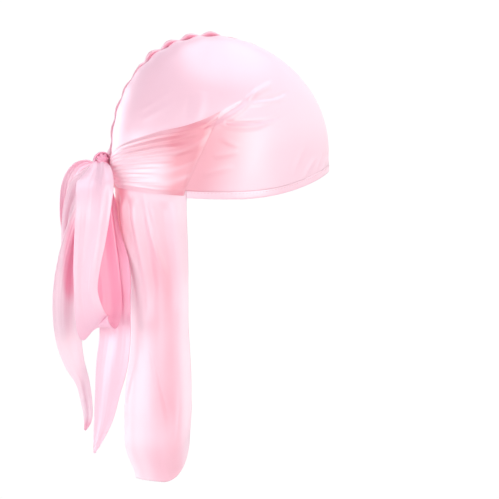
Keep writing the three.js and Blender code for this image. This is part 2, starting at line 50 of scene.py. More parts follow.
# Crown panels
# The crown is two panels of polyester satin, pulled tight over the head by the ties, so they lie
# smooth but for the creases that run up from the ties and the puckers along the middle seam.
RIGHT, LEFT = -1, 1
SIDE_WORD = {RIGHT: "right", LEFT: "left"}
CLOTH = 1.5 * MM
CLEARANCE = 0.3 * MM
SATIN_WALL = 0.8 * MM
PANEL_LOW, PANEL_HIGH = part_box("crown_panel_right")
HEAD_LENGTH = PANEL_HIGH[0] - PANEL_LOW[0] - 2 * CLOTH
HEAD_WIDTH = 156 * MM
SIDE_DROP = 45 * MM
CROWN_RISE = PANEL_HIGH[2] - CLOTH - SIDE_DROP
TOP_LEAN = 8 * MM
BROW_LIFT = 26 * MM
NAPE_LIFT = 8 * MM
HEM_HEIGHT = 6.5 * MM
TIE_HEIGHT = 80 * MM
TOP = math.pi / 2
EGG, PLAN_FRONT, PLAN_BACK = 0.03, 2.1, 2.25
DOME_FULLNESS, NAPE_TAPER = 0.8, 0.05


def mix(a, b, share):
    return a + (b - a) * share


def clamp(value, low=0.0, high=1.0):
    return max(low, min(high, value))


def ease(value, start, end):
    """0 before start, 1 after end, and smooth in between."""
    share = clamp((value - start) / (end - start))
    return share * share * (3 - 2 * share)


def head_surface(turn, climb, side):
    """A point on the head: turn is the angle from the brow, climb the angle up the dome."""
    exponent = PLAN_BACK if math.cos(turn) < 0 else PLAN_FRONT
    cos = math.copysign(abs(math.cos(turn)) ** (2 / exponent), math.cos(turn))
    sin = abs(math.sin(turn)) ** (2 / exponent)
    above = max(climb, 0)
    below = min(climb, 0) * CROWN_RISE / SIDE_DROP
    taper = 1 - NAPE_TAPER * (1 - math.cos(turn)) / 2 * below ** 2
    half_width = HEAD_WIDTH / 2 * (1 - EGG * cos)
    wide = max(math.cos(above), 0) ** DOME_FULLNESS
    return Vector((
        HEAD_LENGTH / 2 * cos * math.cos(above) * taper - TOP_LEAN * math.sin(above) ** 2,
        side * (half_width * sin * wide * taper + CLEARANCE / 2),
        SIDE_DROP + CROWN_RISE * (math.sin(climb) if climb > 0 else climb),
    ))


def climb_to(height):
    rise = (height - SIDE_DROP) / CROWN_RISE
    return math.asin(min(rise, 1)) if rise > 0 else rise


def on_head(turn, climb, standoff, side):
    """A point stood off square to the head."""
    point = head_surface(turn, climb, side)
    step = 1e-3
    if climb > TOP - step:
        return point + Vector((0, 0, standoff))
    at = clamp(turn, 2 * step, math.pi - 2 * step)
    around = head_surface(at + step, climb, side) - head_surface(at - step, climb, side)
    upward = head_surface(at, climb + step, side) - head_surface(at, climb - step, side)
    out = around.cross(upward).normalized() * side
    if at != turn:
        out.y = 0
    return point + out.normalized() * standoff


def rim_height(turn):
    return (BROW_LIFT if math.cos(turn) > 0 else NAPE_LIFT) * math.cos(turn) ** 2


def ripple(place, scale, seed=0.0):
    """Smooth unevenness between -1 and 1, the same on every run."""
    return noise.noise(Vector(place) / scale + Vector((seed, seed * 1.7, seed * 0.3)))


def ridge(point, start, end, width, rise, bow):
    """Height of a crease from start to end, on a flat chart of the cloth, bent up by bow."""
    line = end - start
    offset = point - start
    along = offset.dot(line) / line.length_squared
    if not 0 < along < 1:
        return 0.0
    across = (offset.y * line.x - offset.x * line.y) / line.length - 4 * bow * along * (1 - along)
    return rise * math.exp(-(across / width) ** 2) * math.sin(math.pi * along) ** 0.7


# The creases that the tie's pull draws in the crown: turn in degrees and height in mm at both
# ends, then width, rise and bow in mm. A rise below zero is a groove.
PULL_CREASES = [
    ((104, 64), (76, 102), 1.2, -1.5, 1.0),
    ((100, 64), (74, 100), 1.7, 1.5, 1.5),
    ((88, 86), (63, 106), 1.6, 1.75, -1.0),
    ((79, 94), (60, 109), 1.3, 0.9, 2.0),
    ((84, 89), (50, 99), 1.2, -1.15, 1.5),
    ((82, 86), (54, 94), 1.8, 1.3, 1.2),
    ((97, 72), (62, 78), 1.1, -1.3, 5.5),
    ((96, 69), (66, 74), 1.3, 1.45, 4.5),
    ((95, 66), (72, 68), 1.5, 0.75, 3.0),
    ((108, 64), (104, 98), 4.0, 0.9, 0.0),
    ((114, 66), (112, 94), 3.0, -0.5, 0.0),
    ((146, 80), (124, 98), 2.6, 0.5, 1.0),
    ((142, 72), (120, 88), 3.0, 0.4, 0.0),
    ((96, 56), (88, 48), 1.8, 0.5, 0.0),
    ((99, 38), (88, 44), 2.2, 0.5, 0.5),
    ((104, 22), (90, 30), 2.4, 0.4, 0.0),
    ((46, 52), (57, 20), 2.4, 0.45, 2.0),
    ((36, 40), (51, 14), 2.2, 0.55, 2.0),
    ((27, 46), (38, 22), 2.0, 0.4, 1.0),
    ((20, 40), (32, 20), 2.0, 0.35, 1.0),
]
CREASE_WANDER = 0.8 * MM


def charted(creases, across, along):
    """The creases of a table in metres, on a chart whose units are across and along."""
    return [
        (Vector((start[0] * across, start[1] * along)), Vector((end[0] * across, end[1] * along)),
         width * MM, rise * MM, bow * MM)
        for start, end, width, rise, bow in creases
    ]


CROWN_CREASES = charted(PULL_CREASES, math.radians(1) * HEAD_WIDTH / 2, MM)


def crown_relief(turn, height):
    chart = Vector((turn * HEAD_WIDTH / 2, height))
    chart.y += ripple((chart.x, chart.y, 0), 16 * MM) * CREASE_WANDER
    return sum(ridge(chart, *crease) for crease in CROWN_CREASES)


SEAM_PITCH = 20.9 * MM
PUCKER_RISE, PUCKER_REACH, PUCKER_PHASE = 1.1 * MM, 13 * MM, 0.1


def seam_pucker(point, run):
    """The small folds that run off the seam's gathers. They are deepest behind the top."""
    fade = math.exp(-abs(point.y) / PUCKER_REACH)
    behind = ease(-point.x, -12 * MM, 5 * MM) * (1 - 0.6 * ease(-point.x, 65 * MM, 80 * MM))
    wave = math.cos(2 * math.pi * (run / SEAM_PITCH + PUCKER_PHASE))
    return PUCKER_RISE * fade * mix(0.1, 1.0, behind) * wave


def cloth_sheet(name, shape, across, along, flat, wall=SATIN_WALL, offset=0.0, painted_shading_and_mottle=None):
    """A sheet of cloth: shape(u, v) places the points of a bmesh grid. Its own UV map is in
    metres of cloth, flat is the size it was cut to, and the wall goes on with Solidify. The
    painted shading is kept as an attribute, with a little random mottle in places: above 0 it
    paints shade, the satin deeper as in a shaded fold, and below 0 it paints light, the satin
    paler."""
    sheet = bmesh.new()
    sheet.loops.layers.uv.new("cloth")
    shade = sheet.verts.layers.float.new("painted_shading_and_mottle")
    bmesh.ops.create_grid(sheet, x_segments=across, y_segments=along, size=0.5, calc_uvs=True)
    for vert in sheet.verts:
        u, v = vert.co.x + 0.5, vert.co.y + 0.5
        vert[shade] = painted_shading_and_mottle(u, v) if painted_shading_and_mottle else 0.0
        vert.co = shape(u, v)
    layer = sheet.loops.layers.uv.active
    for face in sheet.faces:
        face.smooth = True
        for loop in face.loops:
            loop[layer].uv.x *= flat[0]
            loop[layer].uv.y *= flat[1]
    bmesh.ops.remove_doubles(sheet, verts=sheet.verts, dist=1e-6)
    mesh = bpy.data.meshes.new(name)
    sheet.to_mesh(mesh)
    sheet.free()
    piece = bpy.data.objects.new(name, mesh)
    bpy.context.collection.objects.link(piece)
    if wall:
        thick = piece.modifiers.new("wall", "SOLIDIFY")
        thick.thickness = wall
        thick.offset = offset
        thick.material_offset = 1
        thick.material_offset_rim = 0
    return piece


def new_group(name, inputs, outputs):
    group = bpy.data.node_groups.new(name, "ShaderNodeTree")
    for label, kind, value in inputs:
        socket = group.interface.new_socket(label, in_out="INPUT", socket_type=kind)
        if value is not None:
            socket.default_value = value
    for label, kind in outputs:
        group.interface.new_socket(label, in_out="OUTPUT", socket_type=kind)
    return group


def set_inputs(node, values):
    for socket, value in values.items():
        node.inputs[socket].default_value = value


def add_node(nodes, kind, values=None, **settings):
    """A new node with its settings, and values for those of its inputs that nothing feeds."""
    node = nodes.new(kind)
    for name, setting in settings.items():
        setattr(node, name, setting)
    set_inputs(node, values or {})
    return node


# Threads to a metre, and how far the noise that stands for them is drawn out along each yarn.
YARNS = {"warp": (1500, (1, 0.14, 1)), "weft": (1100, (0.2, 1, 1))}
# The first colour is painted light, the pale pink that painted shading below 0 leans to; the second
# darkens the satin a little along the warp threads, at random.
PAINTED_LIGHT_PALE, THREAD_SHADE = (0.99, 0.9, 0.95, 1), (0.94, 0.88, 0.9, 1)


def satin_weave_group():
    """Satin: long floats of the warp across the finer weft, with a slow unevenness of colour.
    Depth, painted shading above 0 and the slow unevenness go from Satin to Fold, the deeper pink of
    painted shade, and painted shading below 0 goes from there to a pale pink, which is painted
    light."""
    group = new_group(
        "satin_weave",
        [("Cloth", "NodeSocketVector", None), ("Satin", "NodeSocketColor", (1, 1, 1, 1)),
         ("Fold", "NodeSocketColor", (1, 0.5, 0.6, 1)), ("Depth", "NodeSocketFloat", 0.0),
         ("Painted_Shading_And_Mottle", "NodeSocketFloat", 0.0)],
        [("Colour", "NodeSocketColor"), ("Height", "NodeSocketFloat")],
    )
    nodes, links = group.nodes, group.links
    start = nodes.new("NodeGroupInput")
    end = nodes.new("NodeGroupOutput")
    yarns = {}
    for yarn, (threads, stretch) in YARNS.items():
        along = add_node(nodes, "ShaderNodeMapping", {"Scale": stretch})
        yarns[yarn] = add_node(nodes, "ShaderNodeTexNoise", {"Scale": threads, "Detail": 1})
        links.new(start.outputs["Cloth"], along.inputs["Vector"])
        links.new(along.outputs[0], yarns[yarn].inputs["Vector"])
    floats = add_node(nodes, "ShaderNodeMath", {1: 0.65}, operation="MULTIPLY_ADD")
    links.new(yarns["warp"].outputs["Fac"], floats.inputs[0])
    links.new(yarns["weft"].outputs["Fac"], floats.inputs[2])
    links.new(floats.outputs[0], end.inputs["Height"])

    slow = add_node(nodes, "ShaderNodeTexNoise", {"Scale": 14, "Detail": 2})
    uneven = add_node(nodes, "ShaderNodeMapRange",
                      {"From Min": 0.3, "From Max": 0.7, "To Min": -0.06, "To Max": 0.1})
    # Painted shade: Depth and painted shading above 0 mix the satin towards the deeper pink, as the
    # slow unevenness does at random.
    given = add_node(nodes, "ShaderNodeMath", operation="ADD")
    deep = add_node(nodes, "ShaderNodeMath", operation="ADD", use_clamp=True)
    tint = add_node(nodes, "ShaderNodeMix", data_type="RGBA")
    links.new(start.outputs["Cloth"], slow.inputs["Vector"])
    links.new(slow.outputs["Fac"], uneven.inputs["Value"])
    links.new(start.outputs["Depth"], given.inputs[0])
    links.new(start.outputs["Painted_Shading_And_Mottle"], given.inputs[1])
    links.new(uneven.outputs[0], deep.inputs[0])
    links.new(given.outputs[0], deep.inputs[1])
    links.new(deep.outputs[0], tint.inputs["Factor"])
    links.new(start.outputs["Satin"], tint.inputs["A"])
    links.new(start.outputs["Fold"], tint.inputs["B"])

    # Painted light: painted shading below 0 mixes in the pale pink.
    paler = add_node(nodes, "ShaderNodeMath", {1: -1}, operation="MULTIPLY", use_clamp=True)
    painted_light = add_node(nodes, "ShaderNodeMix", data_type="RGBA")
    set_inputs(painted_light, {"B": PAINTED_LIGHT_PALE})
    links.new(start.outputs["Painted_Shading_And_Mottle"], paler.inputs[0])
    links.new(paler.outputs[0], painted_light.inputs["Factor"])
    links.new(tint.outputs["Result"], painted_light.inputs["A"])

    grain = add_node(nodes, "ShaderNodeMath", {1: 0.25}, operation="MULTIPLY")
    thread = add_node(nodes, "ShaderNodeMix", data_type="RGBA", blend_type="MULTIPLY")
    set_inputs(thread, {"B": THREAD_SHADE})
    links.new(yarns["warp"].outputs["Fac"], grain.inputs[0])
    links.new(grain.outputs[0], thread.inputs["Factor"])
    links.new(painted_light.outputs["Result"], thread.inputs["A"])
    links.new(thread.outputs["Result"], end.inputs["Colour"])
    return group


SATIN_WEAVE = satin_weave_group()
# Deeper pinks that painted shade leans to, for the shade in folds and hollows; the slow random
# unevenness leans to them a little too.
DEEP_PINK, WARM_SHADE_AND_MOTTLE = (0.96, 0.25, 0.43), (0.86, 0.28, 0.35)
FLOAT_DEPTH = 0.15 * MM
SATIN_SHEEN = {"IOR": 1.8, "Anisotropic": 0.4, "Sheen Weight": 0.25, "Sheen Roughness": 0.4,
               "Sheen Tint": (1, 0.9, 0.95, 1)}


def satin(name, colour, fold=DEEP_PINK, depth=0.0, roughness=0.3, weave=0.06, gloss=1.0,
          with_painted_shading=True):
    """A material of the durag's satin, on the piece's own UV map in metres of cloth. fold is the
    deeper pink of painted shade. With painted shading, it follows the piece's attribute of
    painted shading, which paints shade and light into the colour."""
    material = bpy.data.materials.new(name)
    material.use_nodes = True
    nodes, links = material.node_tree.nodes, material.node_tree.links
    cloth = nodes["Principled BSDF"]
    chart = add_node(nodes, "ShaderNodeUVMap", uv_map="cloth")
    woven = nodes.new("ShaderNodeGroup")
    woven.node_tree = SATIN_WEAVE
    set_inputs(woven, {"Satin": (*colour, 1), "Fold": (*fold, 1), "Depth": depth})
    links.new(chart.outputs["UV"], woven.inputs["Cloth"])
    if with_painted_shading:
        painted_shading_and_mottle = add_node(nodes, "ShaderNodeAttribute", attribute_name="painted_shading_and_mottle")
        links.new(painted_shading_and_mottle.outputs["Fac"], woven.inputs["Painted_Shading_And_Mottle"])
    links.new(woven.outputs["Colour"], cloth.inputs["Base Color"])
    bump = add_node(nodes, "ShaderNodeBump", {"Strength": weave, "Distance": FLOAT_DEPTH})
    links.new(woven.outputs["Height"], bump.inputs["Height"])
    links.new(bump.outputs["Normal"], cloth.inputs["Normal"])
    set_inputs(cloth, {"Roughness": roughness, "Specular IOR Level": gloss, **SATIN_SHEEN})
    return material


def finish_piece(piece, node, face, reverse):
    """Puts the piece on the durag's body in place of its CAD node, as a sheet of cloth."""
    piece.data.materials.append(face)
    piece.data.materials.append(reverse)
    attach(piece, "root")
    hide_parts(node)


CROWN_SATIN = satin("crown_satin", (0.97, 0.65, 0.75), fold=WARM_SHADE_AND_MOTTLE, roughness=0.36)
# The reverse of the satin is matte, and its deeper pink is painted shade, for the shade inside the
# loops, the ties and the free ends.
REVERSE_SATIN_SHADED = satin("reverse_satin_shaded", (0.97, 0.48, 0.62), roughness=0.45, weave=0.1)
# A panel was cut as long as the rim from brow to nape and as high as the head's side.
PANEL_CUT = (HEAD_LENGTH * 1.45, CROWN_RISE * 1.25)
CROWN_SLACK, POLE_CALM = 0.35 * MM, 12 * MM
# Degrees from the brow to the top of the tie's front edge, and how much further back the painted
# shade beside it begins at its foot.
TIE_TURN, TIE_SLANT = 95, 19


def crown_panel(side):
    def place(u, v):
        turn = math.pi * u
        return turn, mix(climb_to(rim_height(turn) + HEM_HEIGHT), TOP, v)

    def shape(u, v):
        turn, climb = place(u, v)
        bare = head_surface(turn, climb, side)
        run = math.atan2(bare.z - SIDE_DROP, -bare.x) * CROWN_RISE
        off_pole = ease(CROWN_RISE * (TOP - climb) + abs(bare.y), 0, POLE_CALM)
        standoff = (CLOTH + CLEARANCE) / 2 + crown_relief(turn, bare.z)
        standoff += seam_pucker(bare, run) * off_pole + CROWN_SLACK * ripple(bare, 45 * MM)
        return on_head(turn, climb, standoff, side)

    def painted_shading_and_mottle(u, v):
        """Painted shading: painted shade beside the tie's front edge, deeper low down, and painted
        light, paler, over the brow.
        """
        turn, climb = place(u, v)
        height = head_surface(turn, climb, side).z / MM
        degrees = math.degrees(turn)
        tie_front = TIE_TURN + TIE_SLANT * clamp(1 - height * MM / TIE_HEIGHT)
        beside_tie = (1 - ease(tie_front - degrees, 2, 27)) * (1 - ease(degrees - tie_front, 1, 12))
        below_tie = 0.72 * beside_tie * (1 - ease(height, 62, 84))
        return below_tie + 0.08 * (1 - ease(height, 50, 72)) - 0.12 * (1 - ease(degrees, 60, 90))

    word = SIDE_WORD[side]
    panel = cloth_sheet(f"crown_satin_{word}", shape, 240, 130, PANEL_CUT, painted_shading_and_mottle=painted_shading_and_mottle)
    if side == RIGHT:
        panel.data.flip_normals()
    finish_piece(panel, f"crown_panel_{word}", CROWN_SATIN, REVERSE_SATIN_SHADED)


for side in (RIGHT, LEFT):
    crown_panel(side)


# Middle seam
# Both panels are sewn together inside out and gathered on an elastic thread, so that their raw
# edges stand up along the middle of the crown and part like lips at each gather.
SEAM_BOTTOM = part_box("middle_seam")[0][2]
SEAM_HEIGHT, SEAM_ALLOWANCE, SEAM_WALL = 4.6 * MM, 10 * MM, 0.45 * MM
# The right edge lies over further, so the gathers open that way.
SEAM_LEAN = {RIGHT: 2.6 * MM, LEFT: 1.4 * MM}
SEAM_STANDS = {RIGHT: 0.85, LEFT: 1}
# The seam's satin is a deeper pink than the crown's, with a deeper fold pink: painted shade, for
# the shade in the seam's gathers.
SEAM_SATIN = satin("seam_satin", (0.90, 0.52, 0.62), fold=(0.85, 0.22, 0.34), depth=0.1,
                   roughness=0.4)
FRONT_CLIMB = climb_to(rim_height(0) + HEM_HEIGHT)
BACK_CLIMB = climb_to(SEAM_BOTTOM + 1 * MM)
SEAM_RUN = CROWN_RISE * (2 * TOP - FRONT_CLIMB - BACK_CLIMB)
GATHERS, FIRST_GATHER = round(SEAM_RUN / SEAM_PITCH), 0.944
# Shares of the run between which the lips rise behind the top, and sink again above the nape.
LIPS_RISE, LIPS_SINK = (0.46, 0.485), (0.71, 0.74)


def seam_place(share, standoff):
    climb = FRONT_CLIMB + share * SEAM_RUN / CROWN_RISE
    if climb > TOP:
        return on_head(math.pi, 2 * TOP - climb, standoff, LEFT)
    return on_head(0, climb, standoff, LEFT)


def gather(share):
    """1 in the middle of a gather, where the lips part, and 0 at the stitches between."""
    return math.sin(math.pi * ((share * GATHERS + FIRST_GATHER) % 1)) ** 1.3


def seam_lip(side):
    """One raw edge of the seam."""
    def shape(u, v):
        gape = gather(u)
        stands = mix(0.16, 1, ease(u, *LIPS_RISE)) * mix(1, 0.38, ease(u, *LIPS_SINK))
        tall = SEAM_HEIGHT * stands * mix(0.26, 1, gape) * SEAM_STANDS[side]
        tall *= 1 + 0.12 * ripple((u * 3, side, 0), 0.05)
        base = seam_place(u, mix(CLOTH * 0.5, CLOTH * 0.9 + tall, v))
        spread = 0.35 * MM + SEAM_LEAN[side] * stands * gape * math.sin(v * 1.9)
        return base + Vector((0, side * spread, 0))

    def painted_shading_and_mottle(u, v):
        """Painted shade deep in the gathers, painted light pale at the stitches and along the raw
        edge.
        """
        hollow = 0.5 * gather(u) * (1 - ease(v, 0.6, 0.95))
        return hollow - 0.4 * (1 - gather(u)) - 0.3 * ease(v, 0.7, 1)

    lip = cloth_sheet(f"seam_lip_{SIDE_WORD[side]}", shape, 700, 8, (SEAM_RUN, SEAM_HEIGHT),
                      wall=SEAM_WALL, painted_shading_and_mottle=painted_shading_and_mottle)
    if side == LEFT:
        lip.data.flip_normals()
    finish_piece(lip, "middle_seam", SEAM_SATIN, SEAM_SATIN)


for side in (RIGHT, LEFT):
    seam_lip(side)


# Rim hem
# The rim is turned under once and sewn down with one line of small stitches near its upper edge.
# The hem runs from the middle of the brow to where the cape begins.
HEM_END = math.radians(112.8)
HEM_LENGTH, HEM_WALL = 180 * MM, 1.5 * MM
HEM_CUT = (HEM_LENGTH, 2 * HEM_HEIGHT)
HEM_ROUNDING, HEM_UNEVEN = 0.45, 0.12 * MM
HEM_SATIN = satin("hem_satin", (0.97, 0.65, 0.745), roughness=0.32)
THREAD = satin("stitch_thread", (0.86, 0.5, 0.6), roughness=0.55)
STITCHES, STITCH_RADIUS, STITCH_STRETCH = 64, 0.24 * MM, 3.4
# The line of stitches as a share of the hem's height, and how far out it lies.
STITCH_LINE, STITCH_OUT = 0.8, CLOTH * 0.5 + HEM_WALL * 0.46


def close_up(piece):
    """Welds a sheet that was bent into a tube or a lump, and fills the ends of a tube."""
    body = bmesh.new()
    body.from_mesh(piece.data)
    bmesh.ops.remove_doubles(body, verts=body.verts, dist=1e-5)
    bmesh.ops.holes_fill(body, edges=[edge for edge in body.edges if edge.is_boundary])
    bmesh.ops.recalc_face_normals(body, faces=body.faces)
    body.to_mesh(piece.data)
    body.free()


def rim_hem(side):
    def shape(u, v):
        turn = u * HEM_END
        around = 2 * math.pi * v
        upward, outward = (math.copysign(abs(part) ** HEM_ROUNDING, part)
                           for part in (math.cos(around), math.sin(around)))
        height = rim_height(turn) + (HEM_HEIGHT + 2 * CLEARANCE) * (1 - upward) / 2
        fat = HEM_WALL / 2 * outward * (1 + 0.2 * upward)
        fat += HEM_UNEVEN * ripple((u * 40, v, side), 1.0) * math.sin(math.pi * v)
        return on_head(turn, climb_to(height), CLOTH * 0.5 + fat, side)

    word = SIDE_WORD[side]
    hem = cloth_sheet(f"hem_{word}", shape, 240, 20, HEM_CUT, wall=0)
    close_up(hem)
    finish_piece(hem, f"rim_hem_{word}", HEM_SATIN, HEM_SATIN)


def hem_stitches(side):
    """Short round stitches, a little sunk in the cloth, one every 2.6 mm."""
    row = bmesh.new()
    for number in range(STITCHES):
        turn = HEM_END * (number + 0.5) / STITCHES
        climb = climb_to(rim_height(turn) + HEM_HEIGHT * STITCH_LINE)
        place = on_head(turn, climb, STITCH_OUT, side)
        ahead = on_head(turn + 0.01, climb, STITCH_OUT, side)
        stitch = bmesh.ops.create_uvsphere(row, u_segments=6, v_segments=4, radius=STITCH_RADIUS)
        lie = (ahead - place).to_track_quat("Z", "Y").to_matrix()
        bmesh.ops.scale(row, verts=stitch["verts"], vec=(1, 1, STITCH_STRETCH))
        bmesh.ops.rotate(row, verts=stitch["verts"], matrix=lie)
        bmesh.ops.translate(row, verts=stitch["verts"], vec=place)
    row.loops.layers.uv.new("cloth")
    for face in row.faces:
        face.smooth = True
    name = f"hem_stitches_{SIDE_WORD[side]}"
    mesh = bpy.data.meshes.new(name)
    row.to_mesh(mesh)
    row.free()
    line = bpy.data.objects.new(name, mesh)
    bpy.context.collection.objects.link(line)
    mesh.materials.append(THREAD)
    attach(line, "root")


for side in (RIGHT, LEFT):
    rim_hem(side)
    hem_stitches(side)


# Ties round the head
# Each tie is a long tapering strip sewn into the side of the crown. Pulled back to the knot, it
# closes into pleats that all run to the knot, and its upper edge cuts across the crown.
TIE_SATIN = satin("tie_satin", (0.97, 0.61, 0.69), fold=WARM_SHADE_AND_MOTTLE, roughness=0.36)
KNOT_HEIGHT, TIE_FOLD = 34 * MM, 2.4 * MM
TIE_CUT = (0.115, 0.06)
# How far round from the brow the foot of the front edge lies: just behind the hem's end.
TIE_FOOT = HEM_END + math.radians(2)


def table(labels, rows):
    """A table of sections as one dictionary for each row."""
    return [dict(zip(labels.split(), row)) for row in rows]


# Sections from the temple to the knot: turn is the share of the way round to the back, top and
# bottom are shares of the way from the knot's middle up to the tie's height and down to the rim,
# press is how far the cloth stands off and pleat how deep its pleats are.
TIE_SECTIONS = table("turn top bottom press pleat", [
    (0.0, 1.0, 0.93, 0.0, 0.12),
    (0.1, 0.84, 0.93, 0.1, 0.4),
    (0.22, 0.71, 0.93, 0.2, 0.7),
    (0.38, 0.61, 0.93, 0.3, 0.9),
    (0.56, 0.48, 0.92, 0.4, 0.9),
    (0.74, 0.36, 0.9, 0.4, 0.8),
    (0.88, 0.24, 0.88, 0.5, 0.6),
    (0.97, 0.1, 0.7, 0.6, 0.3),
])
# Pleats of the tie: where each lies at the temple and at the knot, from 0 at the lower edge to 1
# at the upper, where along the tie it starts, its width and its depth.
TIE_PLEATS = [
    (0.93, 0.93, 0.0, 0.05, 0.9), (0.80, 0.84, 0.05, 0.045, 1.0), (0.70, 0.75, 0.16, 0.035, 0.8),
    (0.60, 0.66, 0.0, 0.05, 0.9), (0.47, 0.58, 0.2, 0.035, 0.7), (0.40, 0.48, 0.32, 0.03, 0.55),
    (0.30, 0.40, 0.36, 0.028, 0.5), (0.22, 0.31, 0.4, 0.026, 0.5), (0.14, 0.22, 0.3, 0.026, 0.5),
    (0.05, 0.12, 0.1, 0.03, 0.6),
]


def between(rows, share):
    """Smooth values between the rows of a table."""
    place = clamp(share) * (len(rows) - 1)
    row = min(int(place), len(rows) - 2)
    part = place - row
    near = [rows[int(clamp(row + step, 0, len(rows) - 1))] for step in (-1, 0, 1, 2)]
    found = {}
    for label in rows[0]:
        a, b, c, d = (section[label] for section in near)
        curve = (2 * a - 5 * b + 4 * c - d) * part ** 2
        twist = (3 * b - a - 3 * c + d) * part ** 3
        found[label] = 0.5 * (2 * b + (c - a) * part + curve + twist)
    return found


def pleat_rise(u, v):
    """Overlapping pleats: each rises slowly from above and drops sharply at its lower edge."""
    total = 0.0
    for at_temple, at_knot, start, width, depth in TIE_PLEATS:
        line = mix(at_temple, at_knot, u) + 0.014 * ripple((u * 4, at_knot * 9, 0), 1.0)
        offset = (v - line) / width
        form = math.exp(-(offset / (0.7 if offset < 0 else 2.0)) ** 2)
        total += depth * form * ease(u, start, start + 0.3)
    return total


def tie_wrap(side):
    slant = TIE_FOOT - math.radians(TIE_TURN)

    def shape(u, v):
        row = between(TIE_SECTIONS, u)
        turn = mix(math.radians(TIE_TURN), math.pi, row["turn"]) + slant * (1 - v) * (1 - u) ** 2
        low = mix(KNOT_HEIGHT, rim_height(turn), row["bottom"])
        high = mix(KNOT_HEIGHT, TIE_HEIGHT, row["top"])
        height = mix(low, high, v)
        crest = math.sin(math.pi * v) ** 2
        rise = TIE_FOLD * (row["press"] * crest + row["pleat"] * pleat_rise(u, v))
        off_edge = ease(u, 0, 0.1) * ease(1 - v, 0, 0.1) * ease(v, -0.02, 0.08)
        standoff = mix(0.95, 1.6, off_edge) * CLOTH + crown_relief(turn, height) + rise * off_edge
        return on_head(turn, climb_to(height), standoff, side)

    def painted_shading_and_mottle(u, v):
        """Painted shade deep in front, deepest under its upper edge and where it goes into the
        knot, with painted streaks of light and shade along the pleats in front and a little random
        mottle.
        """
        front = 1 - ease(u, 0.22, 0.42)
        shade = mix(0.66, 0.84, ease(u, 0, 0.1)) * front - 0.12 * ease(u, 0.32, 0.5)
        shade *= 1 - 0.6 * ease(v, 0.82, 0.97) * (1 - ease(u, 0.05, 0.22))
        upper = 0.7 * math.exp(-((v - 0.84) / 0.17) ** 2)
        upper *= (1 - ease(u, 0.4, 0.75)) * ease(u, 0.03, 0.16)
        streak = 0.55 * ripple((u * 2.2, v * 13 + u * 3, 3), 1.0) * ease(u, 0.02, 0.12) * front
        hollow = 0.9 * ease(u, 0.9, 0.98)
        return shade + upper + streak + hollow + 0.1 * ripple((u * 6, v * 14, 3), 1.0)

    word = SIDE_WORD[side]
    wrap = cloth_sheet(f"tie_{word}", shape, 130, 130, TIE_CUT, painted_shading_and_mottle=painted_shading_and_mottle)
    if side == RIGHT:
        wrap.data.flip_normals()
    finish_piece(wrap, f"tie_wrap_{word}", TIE_SATIN, REVERSE_SATIN_SHADED)


for side in (RIGHT, LEFT):
    tie_wrap(side)


# Knot
# The ties cross and are drawn into a small hard knot: a core of bunched cloth and one band of
# pleated cloth that goes over it on a slant.
KNOT_LOW, KNOT_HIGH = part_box("knot")
KNOT_MIDDLE = (KNOT_LOW + KNOT_HIGH) / 2
KNOT_HALF = (KNOT_HIGH - KNOT_LOW) / 2
BOW_SATIN = satin("bow_satin", (0.97, 0.6, 0.73), depth=0.08, roughness=0.37, gloss=0.8)
CORE_GROOVES, GROOVE_DEPTH = 9, 0.16
BAND_TILT, BAND_HALF, BAND_FAT, BAND_PLEAT = math.radians(24), 5 * MM, 1.1 * MM, 0.5 * MM


def finish_lump(piece):
    close_up(piece)
    piece.data.materials.append(BOW_SATIN)
    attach(piece, "root")
    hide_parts("knot")


def knot_core():
    def shape(u, v):
        around, down = 2 * math.pi * u, math.pi * v
        grooves = 0.5 + 0.5 * math.cos(CORE_GROOVES * around + 3 * math.cos(down))
        swell = 1 - GROOVE_DEPTH * math.sin(down) * grooves ** 2 - 0.05 * math.cos(2 * around)
        return KNOT_MIDDLE + Vector((
            KNOT_HALF.x * swell * math.sin(down) * math.cos(around),
            KNOT_HALF.y * math.cos(down) * 0.96,
            KNOT_HALF.z * swell * math.sin(down) * math.sin(around),
        ))

    # Painted shade: the core is painted deep all over, for the shade in the knot.
    finish_lump(cloth_sheet("knot_core", shape, 120, 60, (0.05, 0.03), wall=0,
                            painted_shading_and_mottle=lambda u, v: 0.55))


def knot_band():
    """The band goes round the core in a slanted ring, with pleats that run along it."""
    def shape(u, v):
        around, across = 2 * math.pi * u, 2 * math.pi * v
        flat = math.cos(across)
        pleats = BAND_PLEAT * math.cos(4 * math.pi * flat) * max(math.sin(across), 0)
        reach = 1.06 + (BAND_FAT * math.sin(across) + pleats) / KNOT_HALF.x
        ring = Vector((
            KNOT_HALF.x * reach * math.cos(around),
            flat * BAND_HALF * (0.8 + 0.2 * math.cos(around)),
            KNOT_HALF.z * reach * math.sin(around),
        ))
        return KNOT_MIDDLE + Vector((
            ring.x, ring.y * math.cos(BAND_TILT) + ring.z * math.sin(BAND_TILT),
            ring.z * math.cos(BAND_TILT) - ring.y * math.sin(BAND_TILT),
        ))

    # Painted shade: the band is deeper towards its edges, where it goes over the core.
    finish_lump(cloth_sheet("knot_band", shape, 120, 40, (0.05, 0.02), wall=0,
                            painted_shading_and_mottle=lambda u, v: 0.35 * abs(math.cos(2 * math.pi * v))))


knot_core()
knot_band()


# Bow loops
# Each loop is the tie folded back on itself: it leaves the knot, falls, turns up at the bottom
# and comes back to the knot, so that its reverse shows inside.
LOOP_DROP, LOOP_REACH, LOOP_WIDTH = 153 * MM, 45 * MM, 30 * MM
BOW_SWING, BOW_FOLD = 18 * MM, 1.6 * MM
# How much of the folds is a regular wave, and how much slow and fine unevenness.
FOLD_WAVE, FOLD_SLOW, FOLD_FINE = 0.6, 0.45, 0.2
LOOP_CUT = (0.33, 0.03)
